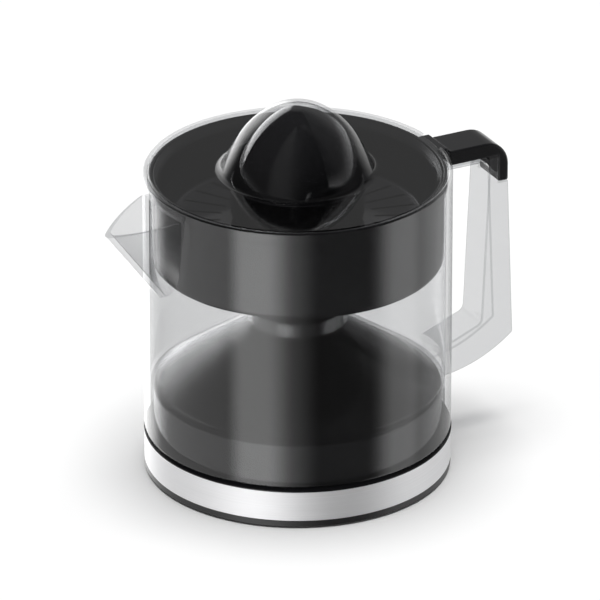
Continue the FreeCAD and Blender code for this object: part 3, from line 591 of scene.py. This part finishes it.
def make_housing():
    wall = HOUSING_WALL
    outline = rounded([
        (BAND_IN_R, PLATE_Z), (BAND_IN_R, BAND_TOP), (LIP_R, BAND_TOP, 0.25), (LIP_R, LEDGE_Z, 0.3),
        (SKIRT_R, LEDGE_Z, 0.4), (SKIRT_R, SHOULDER_Z - SHOULDER_DROP, 3.0),
        (CHIMNEY_R, NECK_FOOT_Z, 1.0), (NECK_R, NECK_FOOT_Z, 0.6), (NECK_R, NECK_TOP_Z, 1.2),
        (BOSS_R, NECK_TOP_Z, 0.8), (BOSS_R, BOSS_TOP_Z, 0.6), (SEAL_R, BOSS_TOP_Z, 0.3),
        (SEAL_R, BOSS_TOP_Z - SEAL_H), (BUSH_R, BOSS_TOP_Z - SEAL_H), (BUSH_R, BOSS_FOOT_Z),
        (BOSS_R, BOSS_FOOT_Z), (BOSS_R, NECK_TOP_Z - wall), (NECK_R - wall, NECK_TOP_Z - wall),
        (NECK_R - wall, NECK_FOOT_Z - wall), (CHIMNEY_R, NECK_FOOT_Z - wall),
        (SKIRT_R - wall, SHOULDER_Z - wall), (SKIRT_R - wall, LEDGE_Z - wall),
        (BAND_IN_R - wall, LEDGE_Z - wall), (BAND_IN_R - wall, PLATE_Z)])
    return boolean(lathe("housing_shell", outline), gland_hole(), "DIFFERENCE")


def make_band():
    outline = rounded([(JUG_R, PLATE_Z, BAND_EDGE), (JUG_R, BAND_TOP, BAND_EDGE),
                       (BAND_IN_R, BAND_TOP), (BAND_IN_R, PLATE_Z)], 3)
    return boolean(lathe("band_ring", outline), gland_hole(), "DIFFERENCE")


# Jug
def jug_body():
    low = SHOULDER_Z + FLOOR_GAP
    high = low + FLOOR_T
    low_neck = NECK_FOOT_Z + FLOOR_GAP
    high_neck = low_neck + FLOOR_T
    chimney_under = CHIMNEY_TOP_Z - CHIMNEY_TOP_T
    outline = rounded([
        (JUG_R, JUG_FOOT_Z, JUG_FOOT_ROUND), (JUG_R, JUG_RIM_Z, RIM_ROUND),
        (RIM_IN_R, JUG_RIM_Z, RIM_ROUND), (RIM_IN_R, RIM_LEDGE_Z, 0.3),
        (JUG_IN_R, RIM_LEDGE_Z, 0.3), (JUG_IN_R, high, 1.5), (SHOULDER_R, high, 3.0),
        (CHIMNEY_R, high_neck, 2.0), (CHIMNEY_R, CHIMNEY_TOP_Z, 1.5), (COLLAR_R, CHIMNEY_TOP_Z, 0.8),
        (COLLAR_R, COLLAR_TOP_Z, 0.5), (COLLAR_IN_R, COLLAR_TOP_Z, 0.5),
        (COLLAR_IN_R, chimney_under, 0.4), (CHIMNEY_IN_R, chimney_under, 0.5),
        (CHIMNEY_IN_R, low_neck, 0.4), (CHIMNEY_R, low_neck, 0.5), (SHOULDER_R, low, 1.0),
        (JUG_IN_R, low, 0.6), (JUG_IN_R, JUG_FOOT_Z, 0.5)])
    return lathe("jug_shell", outline)


def spout_section(z, reach, half_width, inside, tip_r, shift):
    """Beak's outline at one height, with bowed flanks and a round nose."""
    centre = -JUG_R - reach + shift + tip_r
    root = -JUG_R + inside + shift
    flank = math.atan2(half_width, reach + inside)
    sag = -SPOUT_BOW * reach / SPOUT_REACH
    steps = 8
    nose = []
    for s in range(steps + 1):
        turn = math.pi / 2 + flank + (math.pi - 2 * flank) * s / steps
        nose.append((centre + tip_r * math.cos(turn), tip_r * math.sin(turn)))
    loop = [(root, half_width)] + bow((root, half_width), nose[0], sag) + nose[1:]
    loop += bow(nose[-1], (root, -half_width), sag)
    return [(x, y, z) for x, y in loop]


def spout_half_width():
    """Half the beak's width where it meets the wall."""
    return JUG_R * math.sin(math.radians(SPOUT_HALF_DEG))


def spout_solid(name, shift):
    """Beak that opens from a round foot on the wall to its lip."""
    height = JUG_RIM_Z - SPOUT_FOOT_Z
    reach = SPOUT_REACH * height / (SPOUT_LIP_Z - SPOUT_DIP - SPOUT_FOOT_Z)
    widening = spout_half_width() - SPOUT_FOOT_HALF
    levels = 16
    loops = []
    for k in range(levels + 1):
        rise = (k / levels) ** 2
        half_width = SPOUT_FOOT_HALF + widening * (1 - (1 - rise) ** SPOUT_ROUND)
        inside = JUG_R - math.sqrt(JUG_R ** 2 - half_width ** 2) + JUG_WALL
        keel_r = SPOUT_KEEL_R + (SPOUT_TIP_R - SPOUT_KEEL_R) * rise
        tip_r = min(SPOUT_NOSE * half_width, keel_r)
        z = SPOUT_FOOT_Z + height * rise
        loops.append(spout_section(z, reach * rise, half_width, inside, tip_r, shift))
    return stack(name, loops)


def above_lip():
    """All that is above the beak's sloping lip."""
    fall = SPOUT_DIP / SPOUT_REACH
    far = -2 * JUG_R
    top = 2 * JUG_RIM_Z
    outline = [(0, SPOUT_LIP_Z), (-JUG_R, SPOUT_LIP_Z),
               (far, SPOUT_LIP_Z + fall * (far + JUG_R)), (far, top), (0, top)]
    return slab("above_lip", outline, 2 * JUG_R)


def handle_solid():
    root = (HANDLE_ROOT_R, HANDLE_ROOT_Z)
    outline = rounded([
        root, (HANDLE_ROOT_R, HANDLE_LOWER_Z), (HANDLE_IN_FOOT, HANDLE_FOOT_Z, HANDLE_ROUND),
        (HANDLE_IN_TOP, HANDLE_UNDER_Z, HANDLE_ROUND), (HANDLE_ROOT_R, HANDLE_UNDER_Z),
        (HANDLE_ROOT_R, HANDLE_ARM_Z), (CAP_SEAT, HANDLE_ARM_Z), (CAP_SEAT, CAP_LEG_Z),
        (HANDLE_OUT_TOP, CAP_LEG_Z), HANDLE_HEEL])
    outline += bow(HANDLE_HEEL, root, HANDLE_SAG)[:-1]
    return bevel(slab("handle", outline, HANDLE_W), HANDLE_EDGE)


def make_jug():
    jug = jug_body()
    beak = boolean(spout_solid("beak", 0.0), above_lip(), "DIFFERENCE")
    boolean(beak, cylinder("bore", JUG_R - JUG_WALL / 2, 0.0, FAR), "DIFFERENCE")
    boolean(jug, beak, "UNION")
    boolean(jug, handle_solid(), "UNION")
    wedge = math.atan2(spout_half_width(), SPOUT_REACH)
    inside = spout_solid("beak_inside", SPOUT_WALL / math.sin(wedge))
    over = box("over", -FAR, 0, -FAR / 2, FAR / 2, SPOUT_LIP_Z + SPOUT_HOLLOW, FAR)
    boolean(inside, over, "DIFFERENCE")
    boolean(jug, inside, "DIFFERENCE")
    boolean(jug, box("notch", *NOTCH_X, -NOTCH_HALF, NOTCH_HALF, NOTCH_Z, FAR), "DIFFERENCE")
    return close_gaps(jug)


def tell_jug_faces(jug):
    """The handle is thicker plastic; its edges and the beak's lip get painted shade, a darker clear
    tint for the dark lines at clear edges.
    """
    jug.data.materials.append(clear_thick)
    jug.data.materials.append(clear_edge_painted_shade)
    thick, edge = 1, 2
    for face in jug.data.polygons:
        x = face.center.x / MM
        if x > HANDLE_FROM_X:
            # A bevelled handle edge or an upward beak face gets painted shade through the darker tint
            gets_painted_shade = SHADED_EDGE_TILT[0] < abs(face.normal.y) < SHADED_EDGE_TILT[1]
            face.material_index = edge if gets_painted_shade else thick
        elif x < SHADED_BEAK_FROM_X and face.normal.z > SHADED_LIP_TILT:
            face.material_index = edge


def make_cap():
    outline = rounded([
        (CAP_START, HANDLE_ARM_Z), (CAP_START, CAP_TOP_Z), (HANDLE_OUT_TOP, CAP_TOP_Z, CAP_ROUND),
        (HANDLE_OUT_TOP, CAP_LEG_Z), (CAP_SEAT, CAP_LEG_Z), (CAP_SEAT, HANDLE_ARM_Z)], 10)
    return bevel(slab("cap_shell", outline, HANDLE_W), CAP_EDGE)


# Bowl
def outlet_tool(middle_deg):
    """Curved slot through the bowl's floor."""
    steps = 10
    there = range(steps + 1)
    loop = []
    for radius, order in ((OUTLET_IN_R, there), (OUTLET_OUT_R, reversed(there))):
        for s in order:
            turn = math.radians(middle_deg + OUTLET_DEG * (s / steps - 0.5))
            loop.append((radius * math.cos(turn), radius * math.sin(turn)))
    return prism("outlet", loop, BOWL_FLOOR_Z - OUTLET_UNDER, BOWL_FLOOR_Z + OUTLET_OVER)


def make_bowl():
    floor_top = BOWL_FLOOR_Z + BOWL_WALL
    inner = BOWL_R - BOWL_WALL
    seat = BOWL_LIP_R - BOWL_WALL
    lip_foot = RIM_LEDGE_Z + BOWL_LIP_GAP
    outline = rounded([
        (HUB_IN_R, TUBE_FOOT_Z, 0.5), (HUB_OUT_R, TUBE_FOOT_Z, 0.5), (HUB_OUT_R, BOWL_FLOOR_Z, 1.5),
        (BOWL_R, BOWL_FLOOR_Z, 3.5), (BOWL_R, lip_foot, 0.3), (BOWL_LIP_R, lip_foot, BOWL_LIP_ROUND),
        (BOWL_LIP_R, BOWL_RIM_Z, BOWL_LIP_ROUND), (seat, BOWL_RIM_Z, 0.8), (seat, STEP_Z, 0.3),
        (inner, STEP_Z, 0.5), (inner, floor_top, 4.0), (HUB_OUT_R, floor_top, 1.5),
        (HUB_OUT_R, TUBE_TOP_Z, 0.5), (HUB_IN_R, TUBE_TOP_Z, 0.5)])
    bowl = lathe("bowl_shell", outline)
    tab = box("tab", seat + TAB_ROOT, TAB_END, -TAB_HALF, TAB_HALF, BOWL_RIM_Z - TAB_T, BOWL_RIM_Z)
    boolean(bowl, bevel(tab, TAB_EDGE), "UNION")
    for k in range(OUTLETS):
        boolean(bowl, outlet_tool(OUTLET_FIRST_DEG + 360 / OUTLETS * k), "DIFFERENCE")
    shade(bowl)
    return bowl


# Strainer
def make_strainer():
    under = STRAINER_Z - STRAINER_T
    outline = rounded([
        (STRAINER_BORE_R, STRAINER_HUB_Z, 0.3), (COLLAR_R, STRAINER_HUB_Z, 0.4),
        (COLLAR_R, under, 0.8), (STRAINER_FOOT_R, under, 1.5), (STRAINER_WALL_R, STRAINER_SEAT_Z, 0.4),
        (STRAINER_LIP_R, STRAINER_SEAT_Z, 0.3), (STRAINER_LIP_R, STRAINER_LIP_Z, 0.4),
        (*STRAINER_BEVEL, 0.5), (STRAINER_IN_R, STRAINER_SEAT_Z, 0.6),
        (STRAINER_IN_FOOT_R, STRAINER_Z, 2.0), (STRAINER_BORE_R, STRAINER_Z, 0.4)])
    strainer = lathe("strainer_basket", outline)
    for k in range(SLOTS):
        turn = 2 * math.pi * k / SLOTS
        along = Vector((math.cos(turn), math.sin(turn)))
        side = Vector((-math.sin(turn), math.cos(turn))) * SLOT_W / 2
        loop = [along * SLOT_IN_R - side, along * SLOT_OUT_R - side,
                along * SLOT_OUT_R + side, along * SLOT_IN_R + side]
        slot = prism("slot", loop, under - SLOT_SPARE, STRAINER_Z + SLOT_SPARE)
        boolean(strainer, slot, "DIFFERENCE")
    shade(strainer)
    return strainer


# Cone
def cone_radius(drop):
    """Rib radius at a depth below the apex, on the arc through tip, middle and foot."""
    bx, by = CONE_MID[0] - CONE_TIP_R, CONE_MID[1]
    cx, cy = CONE_R - CONE_TIP_R, CONE_RIB_H
    twice = 2 * (bx * cy - by * cx)
    x = (cy * (bx ** 2 + by ** 2) - by * (cx ** 2 + cy ** 2)) / twice
    y = (bx * (cx ** 2 + cy ** 2) - cx * (bx ** 2 + by ** 2)) / twice
    radius = math.hypot(x, y)
    return CONE_TIP_R + x + math.sqrt(radius ** 2 - (drop - y) ** 2)


def facet_radius(rib, turn, middle):
    """Radius at turn from a facet's middle, on the arc from rib to rib."""
    corner = math.sqrt(0.5)
    centre = (middle ** 2 - 1.0) / (2 * (middle - corner))
    arc = middle - centre
    return rib * (centre * math.cos(turn) + math.sqrt(arc ** 2 - (centre * math.sin(turn)) ** 2))


def short_rib_radius(drop, turn, facet):
    """Radius of a facet with its short rib, which rises from the facet to a round crest."""
    rise = (drop - SHORT_RIB_TOP) / (CONE_RIB_H - SHORT_RIB_TOP)
    start = CONE_FACET * cone_radius(SHORT_RIB_TOP)
    crest = start * (1 - rise) + (CONE_R - SHORT_RIB_DIP) * rise
    crest += 4 * SHORT_RIB_DIP * rise * (1 - rise)
    off = abs(facet * math.sin(turn)) / (SHORT_RIB_T / 2)
    if rise <= 0.0 or off >= 1.0 or crest <= facet:
        return facet
    return facet + (crest - facet) * math.sqrt(1 - off ** 4)


def make_cone():
    """Four long ribs where bowed facets meet, and a short rib on each facet."""
    quarter = CONE_COLUMNS // 4
    rings = []
    for k in range(CONE_ROWS + 1):
        drop = CONE_RIB_H * (k / CONE_ROWS) ** CONE_ROW_POWER
        rib = cone_radius(drop)
        middle = CONE_FACET + (CONE_FACET_FOOT - CONE_FACET) * (drop / CONE_RIB_H) ** 2
        radii = []
        for c in range(CONE_COLUMNS):
            turn = ((c % quarter) / quarter - 0.5) * math.pi / 2
            radii.append(short_rib_radius(drop, turn, facet_radius(rib, turn, middle)))
        rings.append((radii, CONE_APEX_Z - drop))
    hollow_r = CONE_R - CONE_WALL
    foot = rounded([(CONE_R, CONE_APEX_Z - CONE_RIB_H, 0.6), (CONE_R, CONE_FOOT_Z, 0.5),
                    (hollow_r, CONE_FOOT_Z, 0.5), (hollow_r, CONE_HOLLOW_Z), CONE_ROOF,
                    (CONE_ROOF_IN_R, CONE_ROOF[1])], 3)
    rings += [([radius] * CONE_COLUMNS, z) for radius, z in foot]
    loops = [[(x, y, z) for x, y in ring(radii, CONE_TURN_DEG)] for radii, z in rings]
    return stack("cone_shell", loops, CONE_SHARP_DEG)


# Cover
def dome_points(inset, steps=28):
    """Dome's outline from its foot to the top: a straight flank, an arc and a round cap."""
    flank = DOME_ARC_R - inset
    cap = DOME_CAP_R - inset
    lift = math.sqrt((flank - cap) ** 2 - DOME_ARC_IN ** 2)
    meet = math.atan2(lift, DOME_ARC_IN)
    foot = COVER_Z + COVER_T - inset
    low = math.asin((foot - DOME_CENTRE_Z) / flank)
    points = []
    for k in range(steps + 1):
        angle = low + (math.pi / 2 - low) * k / steps
        if angle < meet:
            lean = max(angle, math.radians(DOME_LEAN_DEG))
            across = math.cos(lean) + (math.sin(lean) - math.sin(angle)) * math.tan(lean)
            points.append((-DOME_ARC_IN + flank * across, DOME_CENTRE_Z + flank * math.sin(angle)))
        else:
            points.append((cap * math.cos(angle), DOME_CENTRE_Z + lift + cap * math.sin(angle)))
    points[-1] = (0.0, points[-1][1])
    return points


def make_cover():
    outer = dome_points(0.0)
    inner = dome_points(COVER_T)
    top = COVER_Z + COVER_T
    sheet = [(inner[0][0], COVER_Z, 0.5), (BOWL_LIP_R, COVER_Z, 0.5), (BOWL_LIP_R, top, 0.6),
             (outer[0][0], top, DOME_FLARE)]
    outline = rounded(sheet + outer[DOME_FLARE_ROWS:] + inner[:0:-1])
    return lathe("cover_sheet", outline, COVER_COLUMNS)


# Spring
def make_spring():
    """Return spring, in the form and place of its node."""
    return close_gaps(new_object("spring_coil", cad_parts["return_spring"].data.copy()))


dress(make_housing(), "base", black_gloss, "base_housing")
dress(make_band(), "base", brushed, "steel_band")
jug_shell = make_jug()
dress(jug_shell, "jug", clear_jug, "jug")
tell_jug_faces(jug_shell)
dress(make_cap(), "jug", black_gloss, "handle_cap")
dress(make_bowl(), "bowl", black_gloss, "juice_bowl")
dress(make_strainer(), "strainer", black_gloss, "strainer")
dress(make_cone(), "cone", black_gloss, "reamer")
dress(make_cover(), "cover", clear_cover, "dust_cover")

# The spring sits between the gear and the clip; it shortens as the cone is pressed, but here it keeps
# its node's rest shape
spring_coil = make_spring()
dress(spring_coil, "output", bright, "return_spring")
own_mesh(spring_coil)

# Nodes that keep their own mesh
finishes = {
    black_satin: ("base_plate", "microswitch", "drive_spindle"),
    rubber: ("rubber_feet", "cord_gland", "shaft_seal"),
    zinc: ("base_screws", "motor_can", "gearbox_plate", "gearbox_screws"),
    bright: ("rotor_axle", "idler_axle", "drive_shaft", "shaft_clip", "switch_lever", "spindle_clip"),
    bronze: ("shaft_bush",),
    copper: ("motor_coil",),
    ferrite: ("rotor_magnet",),
    white_gear: ("rotor_pinion", "gearbox_cover", "idler_gear", "output_gear"),
}
for mat, names in finishes.items():
    for name in names:
        paint(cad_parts[name], mat)


# Studio
CAMERA_TARGET = Vector((1.047, -0.545, 88.09)) * MM
CAMERA_WAY = Vector((-0.4173, -0.8017, 0.4280))
CAMERA_DISTANCE = 4.0
CAMERA_LENS = 484.4
CAMERA_SENSOR = 36.0
CAMERA_CLIP = 100.0
CAMERA_AZIMUTH = math.atan2(CAMERA_WAY.y, CAMERA_WAY.x)
FLOOR_HALF = 30000.0
FLOOR_COLOUR = (0.93, 0.93, 0.93, 1.0)
ROOM_LIGHT = 0.12       # light from all round
LAMP_LIGHT = 3.1
LAMP_DEG = 34.0

# Studio seen in reflections. A panel's four directions are where it starts, is full,
# fades and ends, in degrees to the right of the camera or above the horizon.
OPEN_LIGHT = 0.9
DARK_TURN = (-12.0, 18.0, 54.0, 78.0)
DARK_SIDE = 0.13
STRIPS = (((-56.0, -40.0, -25.0, -2.0), 1.8), ((60.0, 80.0, 92.0, 106.0), 0.55))
ABOVE_RISE = (-6.0, 8.0)
DARK_ABOVE = 0.06
BELOW_RISE = (-62.0, -40.0)
DARK_BELOW = 0.1
BACK_TURN = (110.0, 150.0)      # on both sides
BACK_RISE = (-4.0, 8.0, 40.0, 60.0)
BACK_LIGHT = 0.235
LEFT_TURN = (-179.0, -170.0, -148.0, -122.0)
LEFT_RISE = (-45.0, -35.0, 8.0, 45.0)
LEFT_LIGHT = 2.4
GLINT_TURN = (5.0, 7.0, 9.0, 11.0)
GLINT_RISE = (-2.0, 2.0, 5.0, 9.0)
GLINT_LIGHT = 1.6


def make_camera():
    data = bpy.data.cameras.new("camera")
    data.lens = CAMERA_LENS
    data.sensor_width = CAMERA_SENSOR
    data.clip_end = CAMERA_CLIP
    camera = new_object("camera", data)
    camera.location = CAMERA_TARGET + CAMERA_WAY.normalized() * CAMERA_DISTANCE
    camera.rotation_euler = (-CAMERA_WAY).to_track_quat("-Z", "Y").to_euler()
    bpy.context.scene.camera = camera


def make_floor():
    """Pale floor that reflections don't show."""
    half = FLOOR_HALF
    corners = [(-half, -half, 0), (half, -half, 0), (half, half, 0), (-half, half, 0)]
    floor = finish_mesh("floor", corners, [(0, 1, 2, 3)])
    mat = bpy.data.materials.new("floor")
    tree = bare_tree(mat)
    paper = add(tree, "BsdfDiffuse", Color=FLOOR_COLOUR)
    open_air = add(tree, "BsdfTransparent")
    path = add(tree, "LightPath")
    end_mixed(tree, path.outputs["Glossy Depth"], paper.outputs["BSDF"], open_air.outputs["BSDF"])
    paint(floor, mat)


def ramp_up(tree, source, start, end):
    """Smooth rise from nought to one."""
    node = add(tree, "MapRange", Value=source, From_Min=start, From_Max=end)
    node.interpolation_type = "SMOOTHSTEP"
    return node.outputs["Result"]


def panel(tree, angle, start, full, fade, end, light=1.0):
    """Soft panel of light between two directions."""
    on = ramp_up(tree, angle, start, full)
    off = ramp_up(tree, angle, fade, end)
    return math_node(tree, "MULTIPLY", math_node(tree, "SUBTRACT", on, off), light)


def dimmed(tree, light, share, low):
    """Light that falls to low where share is one."""
    lost = math_node(tree, "MULTIPLY", share, 1.0 - low)
    return math_node(tree, "MULTIPLY", math_node(tree, "SUBTRACT", 1.0, lost), light)


def studio_light(tree):
    """Brightness of the studio by direction."""
    coord = add(tree, "TexCoord").outputs["Generated"]
    turned = add(tree, "Mapping", Vector=coord, Rotation=(0.0, 0.0, -CAMERA_AZIMUTH))
    way = add(tree, "SeparateXYZ", Vector=turned.outputs["Vector"]).outputs
    turn, rise = (math_node(tree, "MULTIPLY", radians, math.degrees(1.0)) for radians in (
        math_node(tree, "ARCTAN2", way["Y"], way["X"]), math_node(tree, "ARCSINE", way["Z"])))
    light = dimmed(tree, OPEN_LIGHT, panel(tree, turn, *DARK_TURN), DARK_SIDE)
    for directions, strength in STRIPS:
        light = math_node(tree, "ADD", panel(tree, turn, *directions, strength), light)
    light = dimmed(tree, light, ramp_up(tree, rise, *ABOVE_RISE), DARK_ABOVE)
    below = math_node(tree, "SUBTRACT", 1.0, ramp_up(tree, rise, *BELOW_RISE))
    light = dimmed(tree, light, below, DARK_BELOW)
    behind = ramp_up(tree, math_node(tree, "ABSOLUTE", turn), *BACK_TURN)
    for across, up, strength in ((behind, BACK_RISE, BACK_LIGHT),
                                 (panel(tree, turn, *LEFT_TURN), LEFT_RISE, LEFT_LIGHT),
                                 (panel(tree, turn, *GLINT_TURN), GLINT_RISE, GLINT_LIGHT)):
        patch = math_node(tree, "MULTIPLY", across, panel(tree, rise, *up, strength))
        light = math_node(tree, "ADD", light, patch)
    return light


def make_world():
    """White to the camera, dim to the surfaces, and the studio to reflections."""
    world = bpy.data.worlds.new("studio")
    bpy.context.scene.world = world
    tree = bare_tree(world)
    path = add(tree, "LightPath").outputs
    white = math_node(tree, "MAXIMUM", path["Is Camera Ray"], ROOM_LIGHT)
    seen = add(tree, "Background", Color=(1.0, 1.0, 1.0, 1.0), Strength=white)
    studio = add(tree, "Background", Strength=studio_light(tree))
    end_mixed(tree, path["Glossy Depth"], seen.outputs["Background"], studio.outputs["Background"],
              "OutputWorld")


def make_lamp():
    """Wide soft light from straight above, not seen in reflections."""
    data = bpy.data.lights.new("overhead", "SUN")
    data.angle = math.radians(LAMP_DEG)
    data.energy = LAMP_LIGHT
    lamp = new_object("overhead", data)
    lamp.visible_glossy = False


make_camera()
make_floor()
make_world()
make_lamp()
bpy.context.scene.view_settings.view_transform = "Standard"
